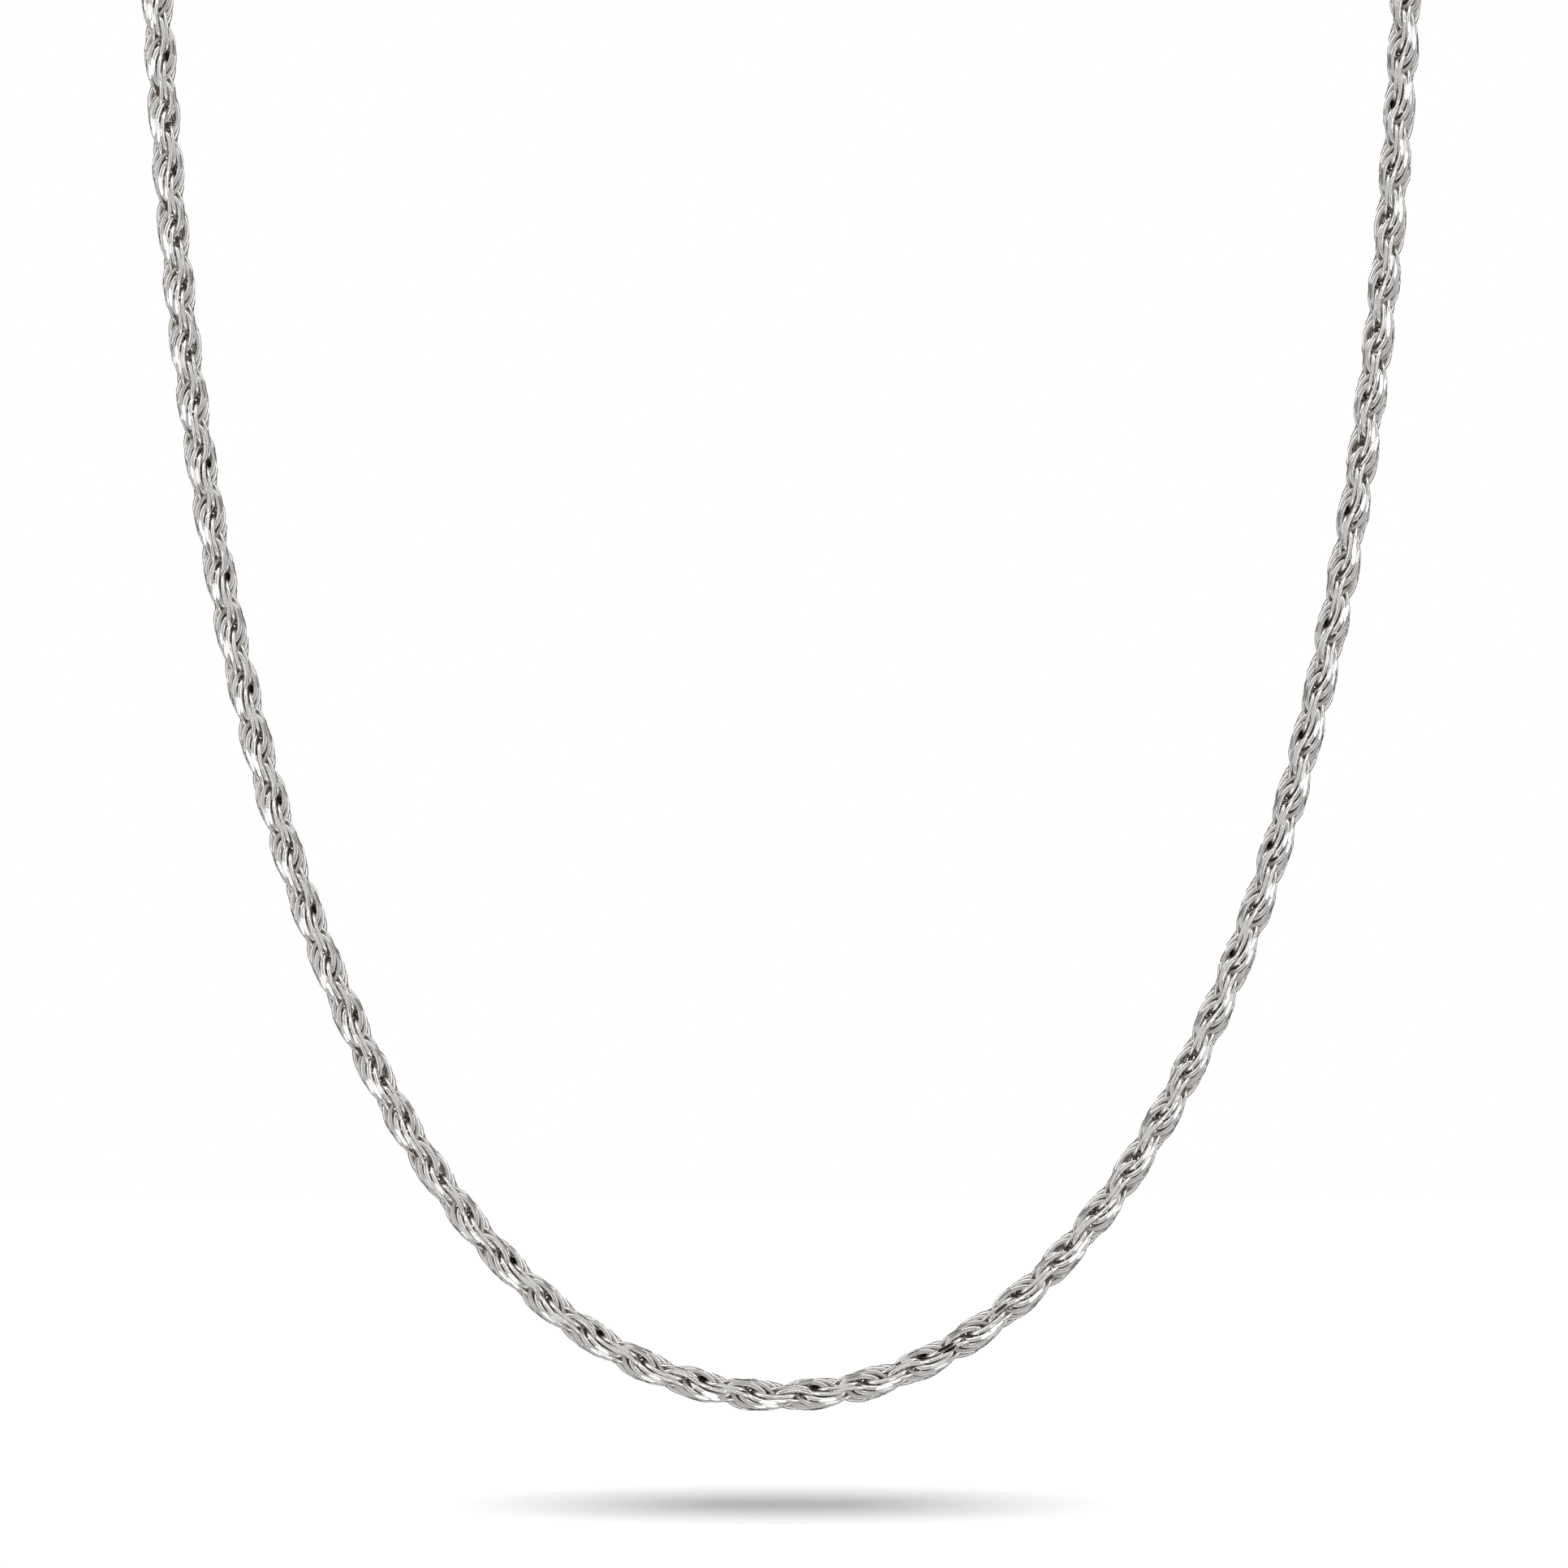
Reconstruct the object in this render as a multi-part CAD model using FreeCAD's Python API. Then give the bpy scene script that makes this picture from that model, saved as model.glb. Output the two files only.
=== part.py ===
import FreeCAD, Part
import math
import os

# Rope-chain necklace with a lobster clasp, drawn closed and hanging as it is worn.
# Millimetres. +Z is up, -Y is the wearer's front, and the origin is the middle of the clasp at the nape.

V = FreeCAD.Vector

# --- driving dimensions: the loop -------------------------------------------------------------------
FRONT_Y = -68.0          # the front of the loop hangs in this upright plane
LOWEST_Z = -158.0        # the rope's centre line at the bottom of the loop
FRONT_TOP_X = 50.6       # half the loop's width where it starts to bend back over the shoulders
FRONT_TOP_Z = -44.8
BOTTOM_REACH = 19.7      # how far the bottom runs on level, as the handle of the front curve
SIDE_HANDLE = (46.2, -135.0)
SHOULDER_RISE = 38.0     # how far the rope rises on before it bends back, as a curve handle
BACK_HANDLE = (55.2, 0.0, 0.0)
CURVE_STEPS = 240        # samples along each curve, for lengths

# --- driving dimensions: the rope -------------------------------------------------------------------
WIRE = 0.34              # wire diameter
LOBE = 4.70              # half a turn of the rope
LINK_PITCH = 0.5828      # step along the rope from one link to the next
LINK_BEND = 0.9241       # radius of a link's round ends, to the middle of the wire
LINK_HALF_SIDE = 0.7577  # half the straight side of a link
LINK_OFFSET = 0.3684     # a link's middle from the rope's middle
LINK_LEAN = 8.0          # degrees that a link leans from the rope's direction
LINK_TWIST = 180.0 * LINK_PITCH / LOBE
END_LINK = 1.95          # from an end cap's floor to the middle of the first link, at the least

# --- driving dimensions: the hinges of the hanging front ----------------------------------------------
FIRST_HINGE_Z = -48.0
HINGE_STEP = 12.0
HINGES = 9

# --- driving dimensions: end caps, rings and clasp ----------------------------------------------------
CAP_INNER = 1.32
CAP_OUTER = 1.62
CAP_LENGTH = 4.0
CAP_FLOOR = 0.8
CAP_LIP = 0.08           # the rolled lip stands this proud
LIP_LENGTH = 0.3
LIP_FLARE = 0.2          # length over which the wall comes back from the lip
DOME_FROM = 1.1          # the closed end is domed from this far along the cap
DOME_RISE = 0.25
DOME_SHOULDER = (0.76, 0.12)     # a point of the dome: share of the cap's radius, and height
EYE_RADIUS = 0.95
EYE_WIRE = 0.35          # radius of the wire
EYE_SETBACK = 1.10       # eye's middle from the cap's closed end
RING_RADIUS = 1.60
CATCH_RADIUS = 1.90      # the larger ring that the hook catches
RING_WIRE = 0.40         # radius of the wire
PLAY = 0.06              # gap where two rings bear on each other
TAIL_EYE_RADIUS = 1.00
TAIL_EYE_REACH = 7.0     # tail eye's middle to the hook hole's middle
HOOK_INNER = 2.0
HOOK_OUTER = 2.9
TAIL_RADIUS = 1.05       # the body's narrow end
TAIL_MIDDLE = -5.2
BODY_HALF_THICK = 0.90
BODY_EDGE = 0.28         # rounding of the body's outer edges
TIP_ANGLE = 50.0         # degrees round the hook's hole: both nose and gate end a little past this
TIP_REACH = 4.30         # gate's tip from its pivot, so that it swings clear of the nose
TIP_GAP = 0.06
GATE_HEEL_ANGLE = 142.0
WALL_ANGLE = 128.0       # the body's wall starts again behind the opening
PIVOT = (-3.3, 1.35)     # lever's pivot from the hook hole's middle, along X and Z
PIVOT_RADIUS = 0.42
PIVOT_HOLE = 0.45
HEAD_RADIUS = 0.62
HEAD_THICK = 0.14
HUB_RADIUS = 0.74
GATE_HALF_THICK = 0.52
GATE_INNER = 2.08
GATE_OUTER = 2.84
SLOT_HALF = 0.58
SLOT_BACK = -4.4         # the lever's slot, from here to SLOT_FRONT along the body
SLOT_FRONT = -0.5
SLOT_FLOOR = 0.35
WEB = ((-3.2, 0.65), (-1.70, 1.20), (-1.75, 2.22), (-3.4, 2.06))      # hub to gate, X and Z
NUB = ((-2.9, 1.6), (-1.6, 2.1), (-1.75, 3.25), (-2.05, 3.55), (-2.4, 3.5))   # for a thumbnail
SPRING_HALF_WIDE = 0.275
# The bent leaf, from its foot on the slot's floor round its bend to its free end, and back inside.
SPRING_OUTSIDE = ((-2.95, 0), (-2.45, 0), (-2.22, 0.12), (-2.30, 0.28), (-2.72, 0.33))
SPRING_INSIDE = ((-2.74, 0.22), (-2.38, 0.19), (-2.36, 0.15), (-2.48, 0.10), (-2.95, 0.10))
SEAT_GAP = 0.02          # between the spring or a rivet head and the face that it sits on
SAME_PLANE = 1e-6


# --- places along the clasp, which lies along X ---------------------------------------------------------
def clasp_places():
    """Middles of the rings and eyes along X, centred on the clasp, and the end caps' closed ends."""
    left_eye = EYE_SETBACK
    left_ring = left_eye + EYE_RADIUS - EYE_WIRE - PLAY - RING_WIRE + RING_RADIUS
    tail_eye = left_ring + RING_RADIUS - RING_WIRE - PLAY - EYE_WIRE + TAIL_EYE_RADIUS
    hook = tail_eye + TAIL_EYE_REACH
    catch_inside = CATCH_RADIUS - RING_WIRE - PLAY
    catch_ring = hook + HOOK_INNER + math.sqrt(catch_inside ** 2 - BODY_HALF_THICK ** 2)
    right_eye = catch_ring + CATCH_RADIUS - RING_WIRE - PLAY - EYE_WIRE + EYE_RADIUS
    half = (right_eye + EYE_SETBACK) / 2
    return left_ring - half, tail_eye - half, hook - half, catch_ring - half, half


LEFT_RING, TAIL_EYE, HOOK, CATCH_RING, CAP_BACK = clasp_places()


# --- curves -------------------------------------------------------------------------------------------
def bezier(handles, steps):
    """Points along a cubic Bezier curve."""
    points = []
    for i in range(steps + 1):
        t = i / steps
        weights = ((1 - t) ** 3, 3 * (1 - t) ** 2 * t, 3 * (1 - t) * t * t, t ** 3)
        point = V(0, 0, 0)
        for weight, handle in zip(weights, handles):
            point = point + handle * weight
        points.append(point)
    return points


def right_half():
    """The rope's middle line on the +X side, from the bottom of the loop to the floor of its end cap."""
    top = V(FRONT_TOP_X, FRONT_Y, FRONT_TOP_Z)
    side = V(SIDE_HANDLE[0], FRONT_Y, SIDE_HANDLE[1])
    front = bezier([V(0, FRONT_Y, LOWEST_Z), V(BOTTOM_REACH, FRONT_Y, LOWEST_Z), side, top], CURVE_STEPS)
    rising = (top - side).normalize()
    mouth = V(CAP_BACK + CAP_LENGTH, 0, 0)
    back = bezier([top, top + rising * SHOULDER_RISE, V(*BACK_HANDLE), mouth], CURVE_STEPS)
    floor = V(CAP_BACK + CAP_FLOOR, 0, 0)
    return front + back[1:] + [floor]


def whole_line():
    """The rope's middle line from the left end cap, round the front, to the right one."""
    right = right_half()
    left = [V(-p.x, p.y, p.z) for p in reversed(right)]
    return Line(left + right[1:])


class Line:
    """A path by length along it."""

    def __init__(self, points):
        self.points = points
        self.at = [0.0]
        for a, b in zip(points, points[1:]):
            self.at.append(self.at[-1] + (b - a).Length)
        self.length = self.at[-1]

    def place(self, s):
        """The point and the direction at length s."""
        s = min(max(s, 0.0), self.length)
        low, high = 0, len(self.at) - 1
        while high - low > 1:
            middle = (low + high) // 2
            if self.at[middle] <= s:
                low = middle
            else:
                high = middle
        share = (s - self.at[low]) / (self.at[high] - self.at[low])
        a, b = self.points[low], self.points[high]
        before = self.points[max(low - 1, 0)]
        after = self.points[min(high + 1, len(self.points) - 1)]
        start_way = (b - before).normalize()
        end_way = (after - a).normalize()
        way = (start_way * (1 - share) + end_way * share).normalize()
        return a + (b - a) * share, way


# --- links --------------------------------------------------------------------------------------------
def oval_link():
    """One soldered oval link of round wire, flat in the XY plane, long along X."""
    r = WIRE / 2
    ends = []
    for side in (1, -1):
        half = Part.makeTorus(LINK_BEND, r, V(0, 0, 0), V(0, 0, 1), -180, 180, 180)
        half.rotate(V(0, 0, 0), V(0, 0, 1), -90 if side > 0 else 90)
        half.translate(V(side * LINK_HALF_SIDE, 0, 0))
        ends.append(half)
    sides = [
        Part.makeCylinder(r, 2 * LINK_HALF_SIDE, V(-LINK_HALF_SIDE, y, 0), V(1, 0, 0))
        for y in (LINK_BEND, -LINK_BEND)
    ]
    return ends[0].fuse([ends[1]] + sides).removeSplitter().Solids[0]


def placement(origin, x_way, y_way, z_way):
    m = FreeCAD.Matrix(
        x_way.x, y_way.x, z_way.x, origin.x,
        x_way.y, y_way.y, z_way.y, origin.y,
        x_way.z, y_way.z, z_way.z, origin.z,
        0, 0, 0, 1,
    )
    return FreeCAD.Placement(m)


def link_placements(line):
    """Where each link sits, with its station on the rope's middle line.

    The links lie against the outside of the rope, turn about, so that they make two strands that wind
    round each other to the left.
    """
    steps = int((line.length - 2 * END_LINK) / LINK_PITCH)
    spare = line.length - steps * LINK_PITCH
    lean = math.radians(LINK_LEAN)
    out = []
    across = V(0, 0, 1)
    for k in range(steps + 1):
        station, way = line.place(spare / 2 + k * LINK_PITCH)
        across = (across - way * across.dot(way)).normalize()
        third = way.cross(across)
        turn = -math.radians(k * (180.0 + LINK_TWIST))
        radial = across * math.cos(turn) + third * math.sin(turn)
        around = way.cross(radial)
        long_way = way * math.cos(lean) + around * math.sin(lean)
        middle = station + radial * LINK_OFFSET
        out.append((station, placement(middle, long_way, radial.cross(long_way), radial)))
    return out


def level_of(station):
    """How many hinge heights a station hangs below; 0 is the part that lies round the neck."""
    if station.y > FRONT_Y + 2.0 or station.z > FIRST_HINGE_Z:
        return 0
    return min(HINGES, 1 + int((FIRST_HINGE_Z - station.z) / HINGE_STEP))


def rope_nodes(line):
    """Node name to its links."""
    link = oval_link()
    nodes = {}
    for station, place in link_placements(line):
        level = level_of(station)
        side = "left" if station.x < 0 else "right"
        if level == 0:
            name = f"rope_nape_{side}"
        elif level == HINGES:
            name = "rope_bottom"
        else:
            name = f"rope_{side}_{level}"
        copy = link.copy()
        copy.Placement = place
        nodes.setdefault(name, []).append(copy)
    return nodes


# --- end caps and rings -------------------------------------------------------------------------------
def end_cap(side):
    """A drawn cup over the rope's soldered end, with an eye; side is +1 where its mouth faces +X."""
    lip = CAP_OUTER + CAP_LIP
    profile = [
        V(0, CAP_FLOOR, 0), V(CAP_INNER, CAP_FLOOR, 0), V(CAP_INNER, CAP_LENGTH, 0), V(lip, CAP_LENGTH, 0),
        V(lip, CAP_LENGTH - LIP_LENGTH, 0), V(CAP_OUTER, CAP_LENGTH - LIP_LENGTH - LIP_FLARE, 0),
        V(CAP_OUTER, DOME_FROM, 0),
    ]
    edges = [Part.LineSegment(a, b).toShape() for a, b in zip(profile, profile[1:])]
    dome_top = V(0, -DOME_RISE, 0)
    dome_side = V(CAP_OUTER * DOME_SHOULDER[0], DOME_SHOULDER[1], 0)
    edges.append(Part.Arc(profile[-1], dome_side, dome_top).toShape())
    edges.append(Part.LineSegment(dome_top, profile[0]).toShape())
    cup = Part.Face(Part.Wire(edges)).revolve(V(0, 0, 0), V(0, 1, 0), 360)
    eye = Part.makeTorus(EYE_RADIUS, EYE_WIRE, V(0, -EYE_SETBACK, 0), V(0, 0, 1))
    cap = cup.fuse(eye).removeSplitter()
    cap.rotate(V(0, 0, 0), V(0, 0, 1), -90 * side)
    cap.rotate(V(0, 0, 0), V(1, 0, 0), 90)
    cap.translate(V(side * CAP_BACK, 0, 0))
    return cap


def level_ring(middle_x, radius):
    """A soldered round ring that lies level."""
    return Part.makeTorus(radius, RING_WIRE, V(middle_x, 0, 0), V(0, 0, 1))


# --- clasp: drawn about the hook hole's middle, upright in XZ ---------------------------------------------
def at_hook(u, w, y=0.0):
    return V(HOOK + u, y, w)


def round_point(radius, degrees, y=0.0):
    angle = math.radians(degrees)
    return at_hook(radius * math.cos(angle), radius * math.sin(angle), y)


def slab(edges, half_thick):
    """A flat shape in the plane y = -half_thick, given thickness along Y."""
    return Part.Face(Part.Wire(edges)).extrude(V(0, 2 * half_thick, 0))


def polygon(corners, half_thick):
    points = [at_hook(u, w, -half_thick) for u, w in corners]
    return slab([Part.makePolygon(points + points[:1])], half_thick)


def disc(u, w, radius, half_thick):
    return Part.makeCylinder(radius, 2 * half_thick, at_hook(u, w, -half_thick), V(0, 1, 0))


def pear_outline(y):
    """The body's outline: the hook's round end and the small tail end, joined by their tangents."""
    tangent = math.degrees(math.acos((HOOK_OUTER - TAIL_RADIUS) / -TAIL_MIDDLE))
    start = 180.0 - tangent

    def tail_point(degrees):
        angle = math.radians(degrees)
        return at_hook(TAIL_MIDDLE + TAIL_RADIUS * math.cos(angle), TAIL_RADIUS * math.sin(angle), y)

    return [
        Part.Arc(round_point(HOOK_OUTER, -start, y), round_point(HOOK_OUTER, 0, y),
                 round_point(HOOK_OUTER, start, y)).toShape(),
        Part.LineSegment(round_point(HOOK_OUTER, start, y), tail_point(start)).toShape(),
        Part.Arc(tail_point(start), tail_point(180), tail_point(-start)).toShape(),
        Part.LineSegment(tail_point(-start), round_point(HOOK_OUTER, -start, y)).toShape(),
    ]


def clasp_body():
    """The hook with its tail eye, open at the gate, slotted for the lever."""
    body = slab(pear_outline(-BODY_HALF_THICK), BODY_HALF_THICK)
    body = body.makeFillet(BODY_EDGE, outer_edges(body))
    far = 2 * HOOK_OUTER
    opening = [(0, 0)]
    for degrees in (TIP_ANGLE, (TIP_ANGLE + WALL_ANGLE) / 2, WALL_ANGLE):
        angle = math.radians(degrees)
        opening.append((far * math.cos(angle), far * math.sin(angle)))
    slot = [(SLOT_BACK, SLOT_FLOOR), (SLOT_FRONT, SLOT_FLOOR), (SLOT_FRONT, far), (SLOT_BACK, far)]
    cuts = [
        disc(0, 0, HOOK_INNER, 2 * BODY_HALF_THICK),
        polygon(opening, BODY_HALF_THICK).common(disc(*PIVOT, TIP_REACH + TIP_GAP, BODY_HALF_THICK)),
        polygon(slot, SLOT_HALF),
        disc(*PIVOT, PIVOT_HOLE, 2 * BODY_HALF_THICK),
    ]
    body = body.cut(cuts)
    eye = Part.makeTorus(TAIL_EYE_RADIUS, EYE_WIRE, V(TAIL_EYE, 0, 0), V(0, 1, 0))
    return body.fuse(eye).removeSplitter()


def outer_edges(body):
    """The edges round the two flat sides."""
    return [e for e in body.Edges if abs(abs(e.CenterOfMass.y) - BODY_HALF_THICK) < SAME_PLANE]


def clasp_lever():
    """The gate that shuts the hook, its hub on the pivot, and the nub that a thumbnail presses."""
    y = -GATE_HALF_THICK
    middle = (TIP_ANGLE + GATE_HEEL_ANGLE) / 2
    arm = slab([
        Part.Arc(round_point(GATE_INNER, TIP_ANGLE, y), round_point(GATE_INNER, middle, y),
                 round_point(GATE_INNER, GATE_HEEL_ANGLE, y)).toShape(),
        Part.LineSegment(round_point(GATE_INNER, GATE_HEEL_ANGLE, y),
                         round_point(GATE_OUTER, GATE_HEEL_ANGLE, y)).toShape(),
        Part.Arc(round_point(GATE_OUTER, GATE_HEEL_ANGLE, y), round_point(GATE_OUTER, middle, y),
                 round_point(GATE_OUTER, TIP_ANGLE, y)).toShape(),
        Part.LineSegment(round_point(GATE_OUTER, TIP_ANGLE, y),
                         round_point(GATE_INNER, TIP_ANGLE, y)).toShape(),
    ], GATE_HALF_THICK)
    arm = arm.common(disc(*PIVOT, TIP_REACH, GATE_HALF_THICK))
    web = polygon(WEB, GATE_HALF_THICK)
    nub = polygon(NUB, GATE_HALF_THICK)
    hub = disc(*PIVOT, HUB_RADIUS, GATE_HALF_THICK)
    hole = disc(*PIVOT, PIVOT_HOLE, 2 * GATE_HALF_THICK)
    return arm.fuse([web, nub, hub]).cut(hole).removeSplitter()


def clasp_rivet():
    """The lever's pivot, headed at both ends."""
    head_from = BODY_HALF_THICK + SEAT_GAP
    shank = disc(*PIVOT, PIVOT_RADIUS, head_from + HEAD_THICK / 2)
    heads = [
        Part.makeCylinder(HEAD_RADIUS, HEAD_THICK, at_hook(*PIVOT, side * head_from), V(0, side, 0))
        for side in (1, -1)
    ]
    return shank.fuse(heads).removeSplitter()


def clasp_spring():
    """A small bent leaf between the slot's floor and the lever's web."""
    low = SLOT_FLOOR + SEAT_GAP
    return polygon([(u, low + w) for u, w in SPRING_OUTSIDE + SPRING_INSIDE], SPRING_HALF_WIDE)


# --- the whole necklace -------------------------------------------------------------------------------
def main():
    os.makedirs("parts", exist_ok=True)
    line = whole_line()
    nodes = {name: Part.makeCompound(links) for name, links in rope_nodes(line).items()}
    nodes["end_cap_left"] = end_cap(-1)
    nodes["end_cap_right"] = end_cap(1)
    nodes["jump_ring"] = level_ring(LEFT_RING, RING_RADIUS)
    nodes["catch_ring"] = level_ring(CATCH_RING, CATCH_RADIUS)
    nodes["clasp_body"] = clasp_body()
    nodes["clasp_lever"] = clasp_lever()
    nodes["clasp_rivet"] = clasp_rivet()
    nodes["clasp_spring"] = clasp_spring()
    for name, shape in nodes.items():
        shape.exportStep(f"parts/{name}.step")
        print(name, len(shape.Solids), "solids", round(shape.Volume, 3), "mm3", shape.isValid())
    length = line.length + 2 * (CAP_BACK + CAP_FLOOR)
    print("round the necklace", round(length, 1), "mm")


main()
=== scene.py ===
import math
import random

import bmesh
import bpy
from mathutils import Matrix, Vector


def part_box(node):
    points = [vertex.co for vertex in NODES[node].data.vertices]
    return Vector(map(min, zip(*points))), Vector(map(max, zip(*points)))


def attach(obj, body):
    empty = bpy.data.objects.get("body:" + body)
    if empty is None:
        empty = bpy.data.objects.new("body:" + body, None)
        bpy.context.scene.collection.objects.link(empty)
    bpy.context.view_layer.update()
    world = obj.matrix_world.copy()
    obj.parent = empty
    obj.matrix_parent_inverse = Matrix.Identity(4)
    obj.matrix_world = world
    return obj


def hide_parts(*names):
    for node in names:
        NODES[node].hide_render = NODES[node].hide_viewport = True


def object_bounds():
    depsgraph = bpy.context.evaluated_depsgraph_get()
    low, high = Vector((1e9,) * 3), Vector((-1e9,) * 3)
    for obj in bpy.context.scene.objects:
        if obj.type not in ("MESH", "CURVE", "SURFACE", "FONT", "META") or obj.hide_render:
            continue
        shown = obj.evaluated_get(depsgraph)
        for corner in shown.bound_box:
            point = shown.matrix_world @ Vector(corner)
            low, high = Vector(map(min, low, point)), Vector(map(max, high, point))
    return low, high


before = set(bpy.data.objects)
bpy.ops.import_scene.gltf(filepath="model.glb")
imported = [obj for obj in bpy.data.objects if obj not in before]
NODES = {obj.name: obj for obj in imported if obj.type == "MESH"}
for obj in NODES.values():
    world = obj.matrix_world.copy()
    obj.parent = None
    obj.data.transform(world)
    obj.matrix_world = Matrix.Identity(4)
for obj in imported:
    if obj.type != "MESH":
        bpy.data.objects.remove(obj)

# Looks of the rope-chain necklace. Everything is in metres, in the frame of the CAD model.
MM = 0.001
CAD_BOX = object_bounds()

# --- the rope's line, as in the CAD model ---------------------------------------------------------
FRONT_Y = -68.0 * MM                     # the plane in which the front hangs
LOWEST_Z = -158.0 * MM                   # the rope's line at the bottom of the loop
FRONT_TOP = (50.6 * MM, -44.8 * MM)      # x and z where the front ends and the rope bends back
BOTTOM_REACH = 19.7 * MM                 # handles of the curves between
SIDE_HANDLE = (46.2 * MM, -135.0 * MM)
SHOULDER_RISE = 38.0 * MM
BACK_HANDLE_X = 55.2 * MM
CURVE_STEPS = 240
CAP_LENGTH = 4.0 * MM
CAP_FLOOR = 0.8 * MM
EYE_REACH = 2.4 * MM                     # an end cap's eye stands this far out of its closed end
LOBE = 4.70 * MM                         # half a turn of the rope
LINK_PITCH = 0.5828 * MM                 # from one link's station to the next
LINK_OFFSET = 0.3684 * MM                # a link's middle stands this far off the rope's line
LINK_LEAN = math.radians(8.0)
LINK_TURN = math.pi * (1 + LINK_PITCH / LOBE)
END_LINK = 1.95 * MM                     # least from a cap's floor to the first station
FIRST_HINGE_Z = -48.0 * MM
HINGE_STEP = 12.0 * MM
HINGES = 9
HINGED_DEPTH = 2.0 * MM                  # the hinged front is this near to its plane
PARTNERS = 0.45                          # share of a lobe where each link has another across the rope
PARTNER_FROM = 0.5                       # where in the lobe that share starts
LINKS_IN_A_PIECE = 130

# --- a link's look --------------------------------------------------------------------------------
WIRE_ACROSS = 0.225 * MM                 # half the wire's width in the plane of the link
WIRE_DEEP = 0.168 * MM                   # half its thickness
WIRE_SIDES = 10
LINK_STEPS = 46
LINK_LONG = 1.68 * MM                    # half the link's length and width, at the middle of its wire
LINK_WIDE = 1.03 * MM
CUTS = 8                                 # flats cut along the rope
CUT_FROM = 0.35                          # the first flat's place, as a share of the angle between two
CUT_RADIUS = 1.23 * MM                   # from the rope's line to a flat
CUT_SPREAD = 0.02 * MM
CUT_TILT = math.radians(4.0)
CUT_LEAST = 0.004 * MM                   # a flat that would take less than this off a link is left out
SAME_PLACE = 1e-7                        # a point nearer than this to a cut lies on it
CORE_DISTANCE = "from_core"              # each point's distance from the rope's line, in millimetres
CHANCE_SEED = 7


# --- the rope's line ------------------------------------------------------------------------------
def bezier(a, b, c, d):
    """Points along a cubic curve from a to d with its handles at b and c."""
    points = []
    for i in range(CURVE_STEPS + 1):
        t = i / CURVE_STEPS
        u = 1 - t
        points.append(a * u ** 3 + b * (3 * u * u * t) + c * (3 * u * t * t) + d * t ** 3)
    return points


def right_half():
    """The rope's middle line on the +X side, from the bottom of the loop to its end cap's floor."""
    cap_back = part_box("end_cap_right")[0].x + EYE_REACH
    top = Vector((FRONT_TOP[0], FRONT_Y, FRONT_TOP[1]))
    side = Vector((SIDE_HANDLE[0], FRONT_Y, SIDE_HANDLE[1]))
    bottom = Vector((0, FRONT_Y, LOWEST_Z))
    front = bezier(bottom, bottom + Vector((BOTTOM_REACH, 0, 0)), side, top)
    rise = (top - side).normalized() * SHOULDER_RISE
    mouth = Vector((cap_back + CAP_LENGTH, 0, 0))
    back = bezier(top, top + rise, Vector((BACK_HANDLE_X, 0, 0)), mouth)
    return front + back[1:] + [Vector((cap_back + CAP_FLOOR, 0, 0))]


class Line:
    """A path by length along it."""

    def __init__(self, points):
        self.points = points
        self.at = [0.0]
        for a, b in zip(points, points[1:]):
            self.at.append(self.at[-1] + (b - a).length)
        self.length = self.at[-1]

    def place(self, s):
        """The point and the direction at length s."""
        low, high = 0, len(self.at) - 1
        while high - low > 1:
            middle = (low + high) // 2
            if self.at[middle] <= s:
                low = middle
            else:
                high = middle
        share = (s - self.at[low]) / (self.at[high] - self.at[low])
        a, b = self.points[low], self.points[high]
        before = self.points[max(low - 1, 0)]
        after = self.points[min(high + 1, len(self.points) - 1)]
        way = (b - before).normalized().lerp((after - a).normalized(), share)
        return a.lerp(b, share), way.normalized()


def rope_line():
    right = right_half()
    left = [Vector((-p.x, p.y, p.z)) for p in reversed(right)]
    return Line(left + right[1:])


def node_at(station):
    """The CAD node and the body that hold the link at this place along the rope."""
    side = "left" if station.x < 0 else "right"
    if station.y > FRONT_Y + HINGED_DEPTH or station.z > FIRST_HINGE_Z:
        return f"rope_nape_{side}", "nape"
    level = min(HINGES, 1 + int((FIRST_HINGE_Z - station.z) / HINGE_STEP))
    if level == HINGES:
        return "rope_bottom", f"front_{level}"
    return f"rope_{side}_{level}", f"front_{level}"


# --- links ----------------------------------------------------------------------------------------
def link_path():
    """Middle line of an oval link in its own plane: (along, across, outward angle) for each step."""
    path = []
    for i in range(LINK_STEPS):
        turn = 2 * math.pi * i / LINK_STEPS
        along, across = LINK_LONG * math.cos(turn), LINK_WIDE * math.sin(turn)
        outward = math.atan2(math.sin(turn) / LINK_WIDE, math.cos(turn) / LINK_LONG)
        path.append((along, across, outward))
    return path


def link_points():
    """The wire's surface round the link, ring by ring, in the link's own frame."""
    points = []
    for along, across, angle in link_path():
        out = Vector((math.cos(angle), math.sin(angle), 0))
        middle = Vector((along, across, 0))
        for j in range(WIRE_SIDES):
            turn = 2 * math.pi * (j + 0.5) / WIRE_SIDES
            rise = Vector((0, 0, WIRE_DEEP * math.sin(turn)))
            points.append(middle + out * (WIRE_ACROSS * math.cos(turn)) + rise)
    return points


def link_faces(rings):
    """Corners of the faces between one ring of points and the next."""
    faces = []
    for i in range(rings):
        for j in range(WIRE_SIDES):
            a, b = i * WIRE_SIDES, ((i + 1) % rings) * WIRE_SIDES
            k = (j + 1) % WIRE_SIDES
            faces.append((a + j, b + j, b + k, a + k))
    return faces


LINK_POINTS = link_points()
LINK_FACES = link_faces(len(LINK_POINTS) // WIRE_SIDES)


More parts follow.
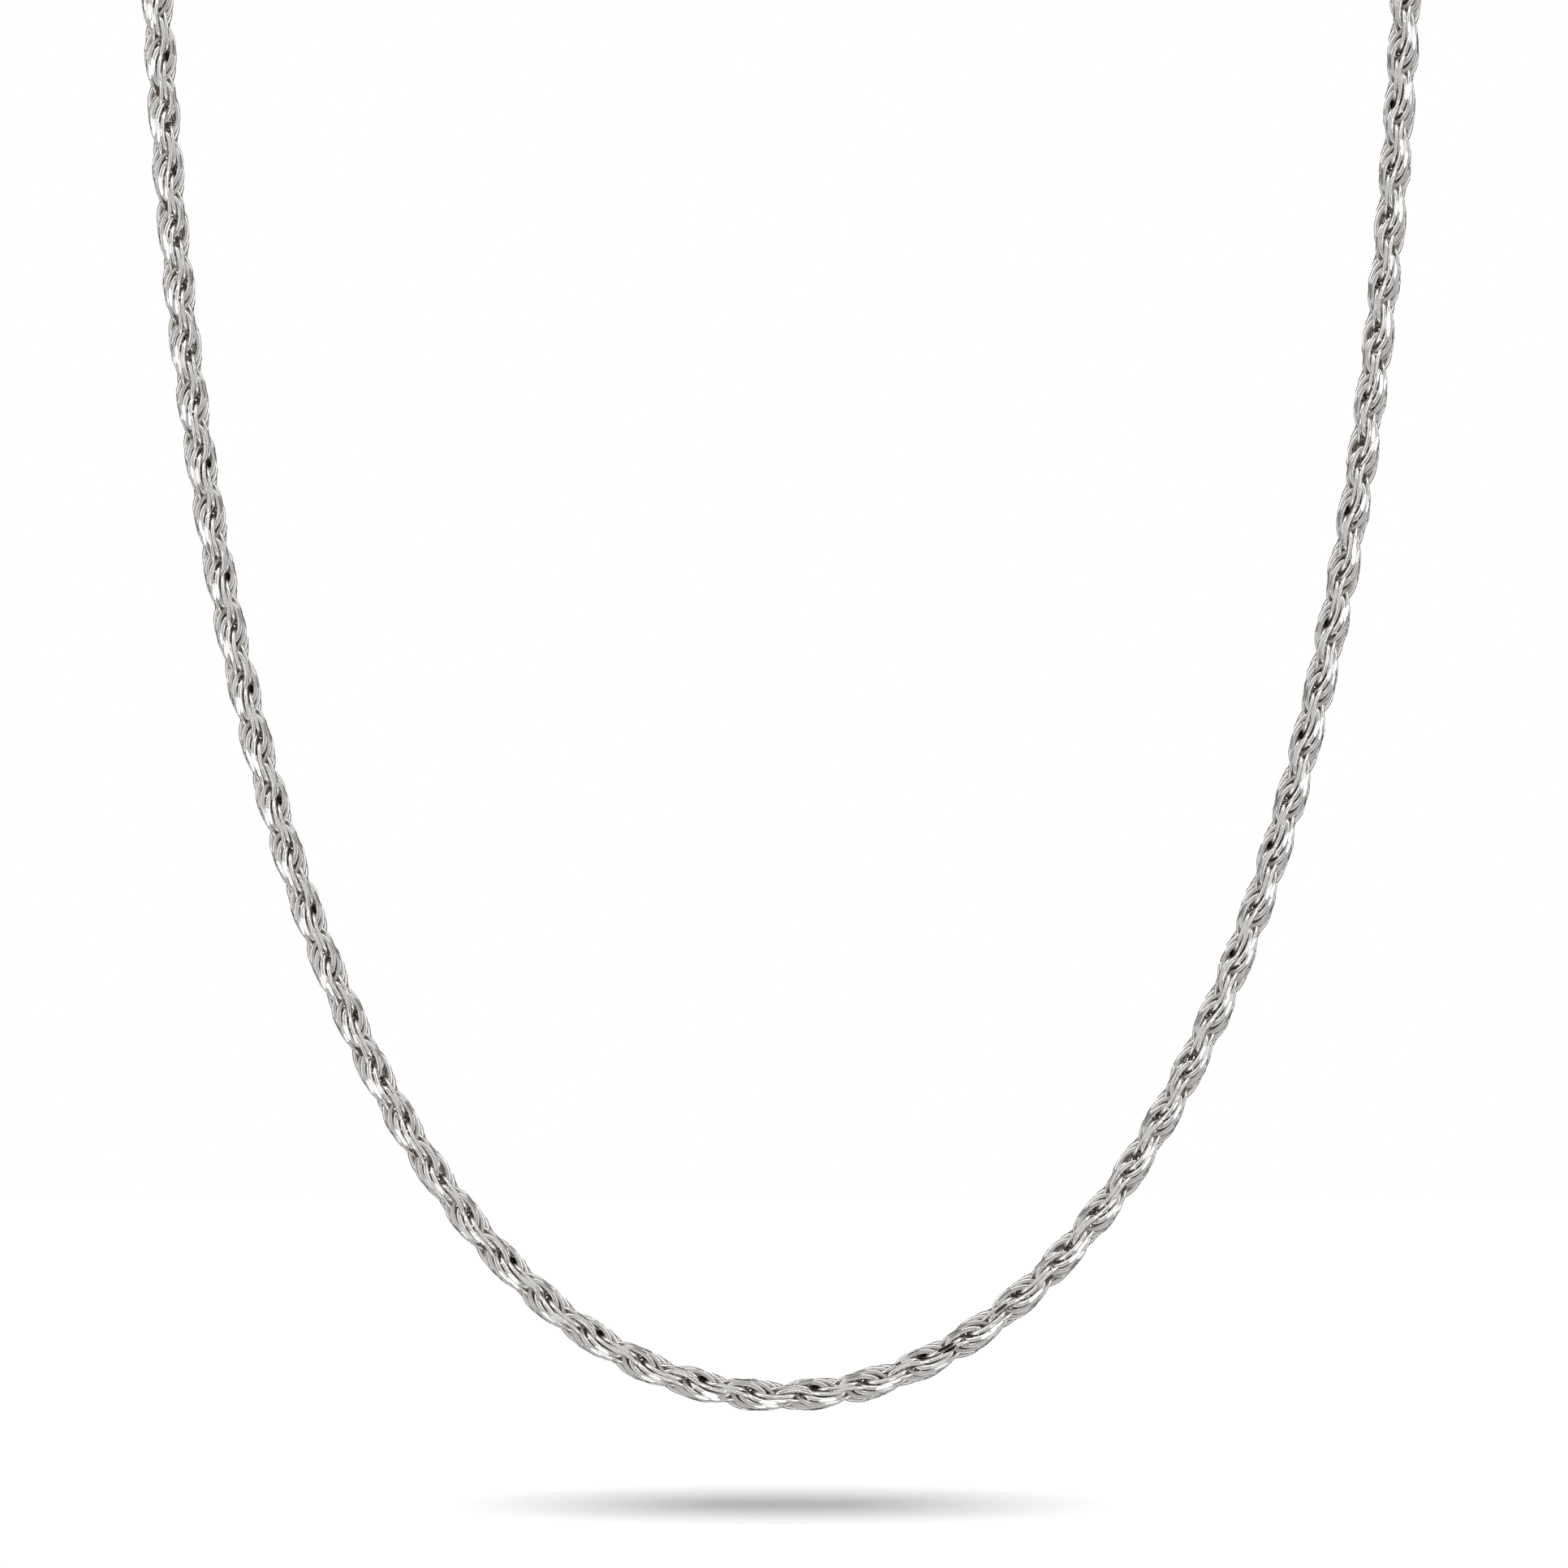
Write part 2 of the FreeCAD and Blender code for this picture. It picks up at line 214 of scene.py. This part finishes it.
class Link:
    """One link's place: its station on the rope's line, the way there, and the frame it is cut in."""

    def __init__(self, station, way, across, turn):
        self.station = station
        self.across = across
        self.third = way.cross(across)
        radial = across * math.cos(turn) + self.third * math.sin(turn)
        around = way.cross(radial)
        long_way = way * math.cos(LINK_LEAN) + around * math.sin(LINK_LEAN)
        side_way = radial.cross(long_way)
        self.way = way
        self.matrix = Matrix((long_way, side_way, radial)).transposed().to_4x4()
        self.matrix.translation = station + radial * LINK_OFFSET

    def flats(self, chance):
        """The planes that the diamond tool cuts along the rope, each a little uneven."""
        for i in range(CUTS):
            angle = 2 * math.pi * (i + CUT_FROM) / CUTS
            out = self.across * math.cos(angle) + self.third * math.sin(angle)
            along_rope = self.way * math.tan(chance.uniform(-CUT_TILT, CUT_TILT))
            side = out.cross(self.way) * math.tan(chance.uniform(-CUT_TILT, CUT_TILT))
            reach = CUT_RADIUS + chance.uniform(-CUT_SPREAD, CUT_SPREAD)
            yield self.station + out * reach, (out + along_rope + side).normalized()


def all_links():
    """Each CAD node's body and links, in order along the rope. A link stands half a turn and a little
    more round the rope from the one before it. In part of each lobe it has a partner straight across."""
    line = rope_line()
    steps = int((line.length - 2 * END_LINK) / LINK_PITCH)
    spare = line.length - steps * LINK_PITCH
    across = Vector((0, 0, 1))
    groups = {}
    for k in range(steps + 1):
        station, way = line.place(spare / 2 + k * LINK_PITCH)
        across = (across - way * across.dot(way)).normalized()
        node, body = node_at(station)
        links = groups.setdefault(node, (body, []))[1]
        turn = -k * LINK_TURN
        links.append(Link(station, way, across, turn))
        if (turn / math.pi + PARTNER_FROM) % 1 < PARTNERS:
            links.append(Link(station, way, across, turn + math.pi))
    return groups


def add_link(into, link, chance):
    """One link, cut by the flats that reach it, added to the rope's mesh."""
    bm = bmesh.new()
    verts = [bm.verts.new(link.matrix @ p) for p in LINK_POINTS]
    for corners in LINK_FACES:
        bm.faces.new([verts[i] for i in corners]).smooth = True
    for point, normal in link.flats(chance):
        if max((v.co - point).dot(normal) for v in bm.verts) <= CUT_LEAST:
            continue
        geometry = bm.verts[:] + bm.edges[:] + bm.faces[:]
        cut = bmesh.ops.bisect_plane(bm, geom=geometry, dist=SAME_PLACE, plane_co=point,
                                     plane_no=normal, clear_outer=True)["geom_cut"]
        rim = [e for e in cut if isinstance(e, bmesh.types.BMEdge)]
        for face in bmesh.ops.edgeloop_fill(bm, edges=rim, mat_nr=1)["faces"]:
            face.smooth = False
            for edge in face.edges:
                edge.smooth = False
    depth = bm.verts.layers.float.new(CORE_DISTANCE)
    for v in bm.verts:
        arm = v.co - link.station
        v[depth] = (arm - link.way * arm.dot(link.way)).length / MM
    mesh = bpy.data.meshes.new("link")
    bm.to_mesh(mesh)
    bm.free()
    into.from_mesh(mesh)
    bpy.data.meshes.remove(mesh)


def made(bm, name):
    """A scene object from a finished bmesh."""
    mesh = bpy.data.meshes.new(name)
    bm.to_mesh(mesh)
    bm.free()
    item = bpy.data.objects.new(name, mesh)
    bpy.context.collection.objects.link(item)
    return item


def rope_pieces(materials):
    """The rope in runs of links, each riding its CAD node's body. Flats take the second material."""
    chance = random.Random(CHANCE_SEED)
    for node, (body, links) in all_links().items():
        for start in range(0, len(links), LINKS_IN_A_PIECE):
            name = f"{node}_links_{start // LINKS_IN_A_PIECE + 1}"
            bm = bmesh.new()
            bm.verts.layers.float.new(CORE_DISTANCE)
            for link in links[start:start + LINKS_IN_A_PIECE]:
                add_link(bm, link, chance)
            piece = made(bm, name)
            for material in materials:
                piece.data.materials.append(material)
            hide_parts(node)
            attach(piece, body)


# --- materials ------------------------------------------------------------------------------------
CLOUD_SCALE = 900.0
CLOUD_RANGE = (0.35, 0.65)
MARK_SCALE = (9000.0, 2600.0, 2600.0)    # polishing marks, drawn out along Y and Z
MARK_RANGE = (0.3, 0.7)
MARK_DEPTH = 0.01 * MM
ROUGH_SPREAD = (0.7, 1.5)                # least and most roughness, as shares of the middle one
DULL_WARMTH = 0.02
LIGHT_WARMTH = 0.008
# Painted shade with a tint of tarnish: the rope's metal is darker and warmer the nearer it lies to the
# rope's line, deep between the wires.
CORE_SHADE = [(0.25, (0.80, 0.76, 0.71, 1)), (0.80, (0.92, 0.90, 0.88, 1)), (1.0, (1, 1, 1, 1))]
GRAIN_SCALE = 800.0
PAPER_ROUGHNESS = 0.9


class Nodes:
    """A short way to write a node tree."""

    def __init__(self, tree):
        self.tree = tree
        tree.nodes.clear()

    def add(self, kind, settings=None, **inputs):
        """A node with its properties and inputs set. An underscore in an input's name is a space."""
        node = self.tree.nodes.new(kind)
        for name, value in (settings or {}).items():
            setattr(node, name, value)
        for name, value in inputs.items():
            socket = node.inputs[name.replace("_", " ")]
            if isinstance(value, bpy.types.NodeSocket):
                self.tree.links.new(value, socket)
            else:
                socket.default_value = value
        return node

    def ramp(self, value, stops):
        """A colour ramp from two or more pairs of position and colour."""
        node = self.add("ShaderNodeValToRGB", Fac=value)
        ramp = node.color_ramp
        ramp.elements[0].position, ramp.elements[0].color = stops[0]
        ramp.elements[1].position, ramp.elements[1].color = stops[-1]
        for position, colour in stops[1:-1]:
            ramp.elements.new(position).color = colour
        return node.outputs["Color"]

    def blend(self, kind, a, b):
        """Two colours blended in full. The mix node's colour inputs are 6 and 7, its output is 2."""
        node = self.add("ShaderNodeMix", {"data_type": "RGBA", "blend_type": kind})
        node.inputs["Factor"].default_value = 1.0
        self.tree.links.new(a, node.inputs[6])
        self.tree.links.new(b, node.inputs[7])
        return node.outputs[2]


def grey(value, warm=0.0):
    return (value * (1 + warm), value, value * (1 - warm), 1)


def silver(name, light, dull, rough, scratch, shade=False):
    """Polished metal: faint clouding, fine polishing marks and, with shade, a darker, warmer core:
    painted shade deep between the wires, near the rope's line, with a tint of tarnish.
    """
    material = bpy.data.materials.new(name)
    material.use_nodes = True
    n = Nodes(material.node_tree)
    place = n.add("ShaderNodeTexCoord").outputs["Object"]
    cloud = n.add("ShaderNodeTexNoise", Vector=place, Scale=CLOUD_SCALE, Detail=4.0,
                  Roughness=0.6).outputs["Fac"]
    drawn_out = n.add("ShaderNodeMapping", Vector=place, Scale=MARK_SCALE).outputs["Vector"]
    marks = n.add("ShaderNodeTexNoise", Vector=drawn_out, Scale=1.0, Detail=3.0,
                  Roughness=0.7).outputs["Fac"]
    colour = n.ramp(cloud, [(CLOUD_RANGE[0], grey(dull, DULL_WARMTH)),
                            (CLOUD_RANGE[1], grey(light, LIGHT_WARMTH))])
    # painted shade with a tint of tarnish, darkest near the rope's line
    if shade:
        core = n.add("ShaderNodeAttribute", {"attribute_name": CORE_DISTANCE}).outputs["Fac"]
        colour = n.blend("MULTIPLY", colour, n.ramp(core, CORE_SHADE))
    roughness = n.add("ShaderNodeMapRange", Value=marks, From_Min=MARK_RANGE[0], From_Max=MARK_RANGE[1],
                      To_Min=rough * ROUGH_SPREAD[0], To_Max=rough * ROUGH_SPREAD[1]).outputs["Result"]
    bump = n.add("ShaderNodeBump", Height=marks, Strength=scratch, Distance=MARK_DEPTH).outputs["Normal"]
    shader = n.add("ShaderNodeBsdfPrincipled", Base_Color=colour, Metallic=1.0, Roughness=roughness,
                   Normal=bump)
    n.add("ShaderNodeOutputMaterial", Surface=shader.outputs["BSDF"])
    return material


# --- fittings -------------------------------------------------------------------------------------
CASTING_SKIN = 0.045 * MM                # voxel sizes of the worn skins
RIVET_SKIN = 0.03 * MM
SPRING_SKIN = 0.012 * MM
TUMBLED = 0.5                            # how far each pass of smoothing moves a point
RING_STEPS = 96
RING_SIDES = 24
RING_JOINT = math.radians(90)            # where on the ring its solder joint is
SEAM_WIDE = 0.07                         # the joint's swelling and the fine line in it, in radians
SEAM_FINE = 0.02
RING_SLIM = 0.985                        # the wire's size, as shares of the CAD ring's
SEAM_SWELL = 0.015
SEAM_LINE = 0.035


def softened(node, body, material, voxel, passes):
    """A cast, tumbled piece: the CAD node's shape with its edges worn round."""
    piece = bpy.data.objects.new(f"{node}_cast", NODES[node].data.copy())
    bpy.context.collection.objects.link(piece)
    remesh = piece.modifiers.new("skin", "REMESH")
    remesh.mode = "VOXEL"
    remesh.voxel_size = voxel
    remesh.use_smooth_shade = True
    smooth = piece.modifiers.new("tumbled", "SMOOTH")
    smooth.iterations = passes
    smooth.factor = TUMBLED
    piece.data.materials.clear()
    piece.data.materials.append(material)
    bake_modifiers(piece)
    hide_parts(node)
    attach(piece, body)


def bake_modifiers(piece):
    """Turns the piece's modifiers into its mesh."""
    depsgraph = bpy.context.evaluated_depsgraph_get()
    mesh = bpy.data.meshes.new_from_object(piece.evaluated_get(depsgraph))
    piece.modifiers.clear()
    piece.data = mesh


def ring(node, body, material):
    """A soldered round ring at the CAD ring's size, a little proud at its joint."""
    low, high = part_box(node)
    wire = (high.z - low.z) / 2
    radius = (high.x - low.x) / 2 - wire
    middle = (low + high) / 2
    bm = bmesh.new()
    verts = []
    for i in range(RING_STEPS):
        angle = 2 * math.pi * i / RING_STEPS
        swelling = SEAM_SWELL * math.exp(-((angle - RING_JOINT) / SEAM_WIDE) ** 2)
        line = SEAM_LINE * math.exp(-((angle - RING_JOINT) / SEAM_FINE) ** 2)
        size = wire * (RING_SLIM + swelling - line)
        out = Vector((math.cos(angle), math.sin(angle), 0))
        for j in range(RING_SIDES):
            turn = 2 * math.pi * j / RING_SIDES
            rise = Vector((0, 0, size * math.sin(turn)))
            verts.append(bm.verts.new(middle + out * (radius + size * math.cos(turn)) + rise))
    for i in range(RING_STEPS):
        for j in range(RING_SIDES):
            a, b = i * RING_SIDES, ((i + 1) % RING_STEPS) * RING_SIDES
            k = (j + 1) % RING_SIDES
            bm.faces.new([verts[a + j], verts[b + j], verts[b + k], verts[a + k]]).smooth = True
    piece = made(bm, f"{node}_wire")
    piece.data.materials.append(material)
    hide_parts(node)
    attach(piece, body)


def fittings(material, steel):
    for node in ("jump_ring", "catch_ring"):
        ring(node, node, material)
    for node, body in (("end_cap_left", "nape"), ("end_cap_right", "nape"), ("clasp_body", "clasp"),
                       ("clasp_lever", "lever")):
        softened(node, body, material, CASTING_SKIN, passes=5)
    softened("clasp_rivet", "clasp", material, RIVET_SKIN, passes=3)
    softened("clasp_spring", "clasp", steel, SPRING_SKIN, passes=2)


# --- studio ---------------------------------------------------------------------------------------
CAMERA_AWAY = 1.2
VIEW_WIDTH = 127.1 * MM                  # width of the picture at the front of the loop
VIEW_HEIGHT = 49.6 * MM                  # the camera's height over the bottom of the loop
VIEW_SIDE = 0.2 * MM                     # and how far it stands to the right of the loop's middle
SENSOR = 36.0
CLIP_END = 20
FLOOR_RADIUS = 0.9
FLOOR_STEPS = 96
FLOOR_DROP = 8.6 * MM                    # from the object's lowest point down to the floor
SUN_HEIGHT = 1.0
SHADE_Y = FRONT_Y + 20.0 * MM            # middle of the soft shade on the floor
SHADE_SPREAD = math.radians(7.0)
FLAG_WIDE = 12.5 * MM                    # half the flag's width and depth
FLAG_DEEP = 24.0 * MM
FLAG_HEIGHT = 317.0 * MM                 # the flag's height over the floor
FLAG_STEPS = 64
OPEN_LIGHT = 0.19                        # floor's light that the flag doesn't stop, and that it does
FLAGGED_LIGHT = 0.97
SURROUND_LIGHT = 1.78


def camera():
    data = bpy.data.cameras.new("camera")
    data.sensor_width = SENSOR
    data.lens = SENSOR * CAMERA_AWAY / VIEW_WIDTH
    data.clip_end = CLIP_END
    item = bpy.data.objects.new("camera", data)
    bpy.context.collection.objects.link(item)
    item.location = (VIEW_SIDE, FRONT_Y - CAMERA_AWAY, LOWEST_Z + VIEW_HEIGHT)
    item.rotation_euler = (math.pi / 2, 0, 0)
    bpy.context.scene.camera = item


def paper(name, dull, light):
    """Matt paper with a faint grain between two greys."""
    material = bpy.data.materials.new(name)
    material.use_nodes = True
    n = Nodes(material.node_tree)
    place = n.add("ShaderNodeTexCoord").outputs["Object"]
    grain = n.add("ShaderNodeTexNoise", Vector=place, Scale=GRAIN_SCALE, Detail=3.0).outputs["Fac"]
    colour = n.ramp(grain, [(0.0, grey(dull)), (1.0, grey(light))])
    shader = n.add("ShaderNodeBsdfPrincipled", Base_Color=colour, Roughness=PAPER_ROUGHNESS)
    n.add("ShaderNodeOutputMaterial", Surface=shader.outputs["BSDF"])
    return material


def disc(name, steps, radius):
    bm = bmesh.new()
    bmesh.ops.create_circle(bm, cap_ends=True, segments=steps, radius=radius)
    return made(bm, name)


def floor():
    """A plain pale floor that the metal doesn't mirror, which keeps the rope's edges off white."""
    item = disc("floor", FLOOR_STEPS, FLOOR_RADIUS)
    item.location = (0, FRONT_Y / 2, CAD_BOX[0][2] - FLOOR_DROP)
    item.data.materials.append(paper("floor_paper", dull=0.93, light=0.95))
    item.visible_glossy = False
    return item


def sun(name, spread, floor_light, blockers):
    """A light straight down that metal doesn't mirror. Only the blockers cast its shade."""
    data = bpy.data.lights.new(name, "SUN")
    data.angle = spread
    data.energy = math.pi * floor_light
    item = bpy.data.objects.new(name, data)
    bpy.context.collection.objects.link(item)
    item.location = (0, SHADE_Y, SUN_HEIGHT)
    item.visible_glossy = False
    group = bpy.data.collections.new(f"{name}_blockers")
    for blocker in blockers:
        group.objects.link(blocker)
    item.light_linking.blocker_collection = group


def flag():
    """A small disc over the loop, unseen itself, whose soft shade on the floor is all that it does."""
    item = disc("flag", FLAG_STEPS, 1)
    item.data.materials.append(paper("flag_paper", dull=0.05, light=0.07))
    item.scale = (FLAG_WIDE, FLAG_DEEP, 1)
    item.location = (0, SHADE_Y, CAD_BOX[0][2] - FLOOR_DROP + FLAG_HEIGHT)
    item.visible_camera = False
    item.visible_glossy = False
    item.visible_diffuse = False
    return item


# Grey of the surround from behind the camera (0) to straight before it (1).
SURROUND = [(0.0, (0.35, 0.35, 0.345, 1)), (0.12, (0.37, 0.37, 0.365, 1)),
            (0.13, (0.05, 0.048, 0.045, 1)), (0.17, (0.05, 0.048, 0.045, 1)),
            (0.18, (0.55, 0.55, 0.545, 1)), (0.22, (0.52, 0.52, 0.515, 1)),
            (0.26, (1, 1, 1, 1)), (0.35, (1, 1, 1, 1)),
            (0.39, (0.47, 0.465, 0.46, 1)), (0.48, (0.42, 0.415, 0.41, 1)),
            (0.58, (0.30, 0.295, 0.285, 1)), (0.68, (0.16, 0.155, 0.145, 1)),
            (0.80, (0.07, 0.066, 0.06, 1)), (1.0, (0.03, 0.028, 0.025, 1))]
# Thin dark edges: one a little above and right of the camera, one square to the right and overhead.
NEAR_EDGE = [(0.528, grey(1.0)), (0.532, grey(0.01)), (0.578, grey(0.01)), (0.582, grey(1.0))]
NEAR_EDGE_ENDS = [(0.20, grey(0.0)), (0.25, grey(1.0))]
SIDE_EDGE = [(0.466, grey(1.0)), (0.470, grey(0.01)), (0.490, grey(0.01)), (0.494, grey(1.0))]
SIDE_EDGE_ENDS = [(0.70, grey(1.0)), (0.75, grey(0.0))]
HEIGHT_SHADE = [(0.2, grey(0.7)), (0.75, grey(1.0))]     # a little darker from below


def between(n, value):
    """0 to 1 for a value from -1 to 1."""
    return n.add("ShaderNodeMapRange", Value=value, From_Min=-1.0, From_Max=1.0).outputs["Result"]


def studio(ground):
    """What polished metal mirrors, with thin dark edges in it, and the floor's two lights. The camera
    itself sees plain white."""
    world = bpy.data.worlds.new("studio")
    bpy.context.scene.world = world
    world.use_nodes = True
    world.cycles_visibility.diffuse = False
    n = Nodes(world.node_tree)
    way = n.add("ShaderNodeTexCoord").outputs["Generated"]
    parts = n.add("ShaderNodeSeparateXYZ", Vector=way).outputs
    behind = between(n, parts["Y"])
    surround = n.ramp(behind, SURROUND)
    lean = n.add("ShaderNodeMath", {"operation": "ADD"})
    n.tree.links.new(parts["X"], lean.inputs[0])
    n.tree.links.new(parts["Z"], lean.inputs[1])
    upper = between(n, lean.outputs[0])
    near_edge = n.blend("LIGHTEN", n.ramp(upper, NEAR_EDGE), n.ramp(behind, NEAR_EDGE_ENDS))
    side_edge = n.blend("LIGHTEN", n.ramp(behind, SIDE_EDGE), n.ramp(upper, SIDE_EDGE_ENDS))
    lit = n.blend("MULTIPLY", n.blend("MULTIPLY", surround, near_edge), side_edge)
    lit = n.blend("MULTIPLY", lit, n.ramp(between(n, parts["Z"]), HEIGHT_SHADE))
    seen = n.add("ShaderNodeLightPath").outputs["Is Camera Ray"]
    mirrored = n.add("ShaderNodeBackground", Color=lit, Strength=SURROUND_LIGHT)
    plain = n.add("ShaderNodeBackground", Color=(1, 1, 1, 1), Strength=1.0)
    mix = n.add("ShaderNodeMixShader", Fac=seen)
    n.tree.links.new(mirrored.outputs[0], mix.inputs[1])
    n.tree.links.new(plain.outputs[0], mix.inputs[2])
    n.add("ShaderNodeOutputWorld", Surface=mix.outputs[0])
    sun("over_all", SHADE_SPREAD, OPEN_LIGHT, [ground])
    sun("over_flag", SHADE_SPREAD, FLAGGED_LIGHT, [flag()])
    bpy.context.scene.view_settings.view_transform = "Standard"


camera()
studio(floor())
rope_pieces([silver("drawn_silver", light=0.93, dull=0.84, rough=0.14, scratch=0.25, shade=True),
             silver("cut_silver", light=0.97, dull=0.93, rough=0.05, scratch=0.08)])
fittings(silver("cast_silver", light=0.93, dull=0.86, rough=0.10, scratch=0.2),
         silver("spring_steel", light=0.62, dull=0.52, rough=0.22, scratch=0.3))
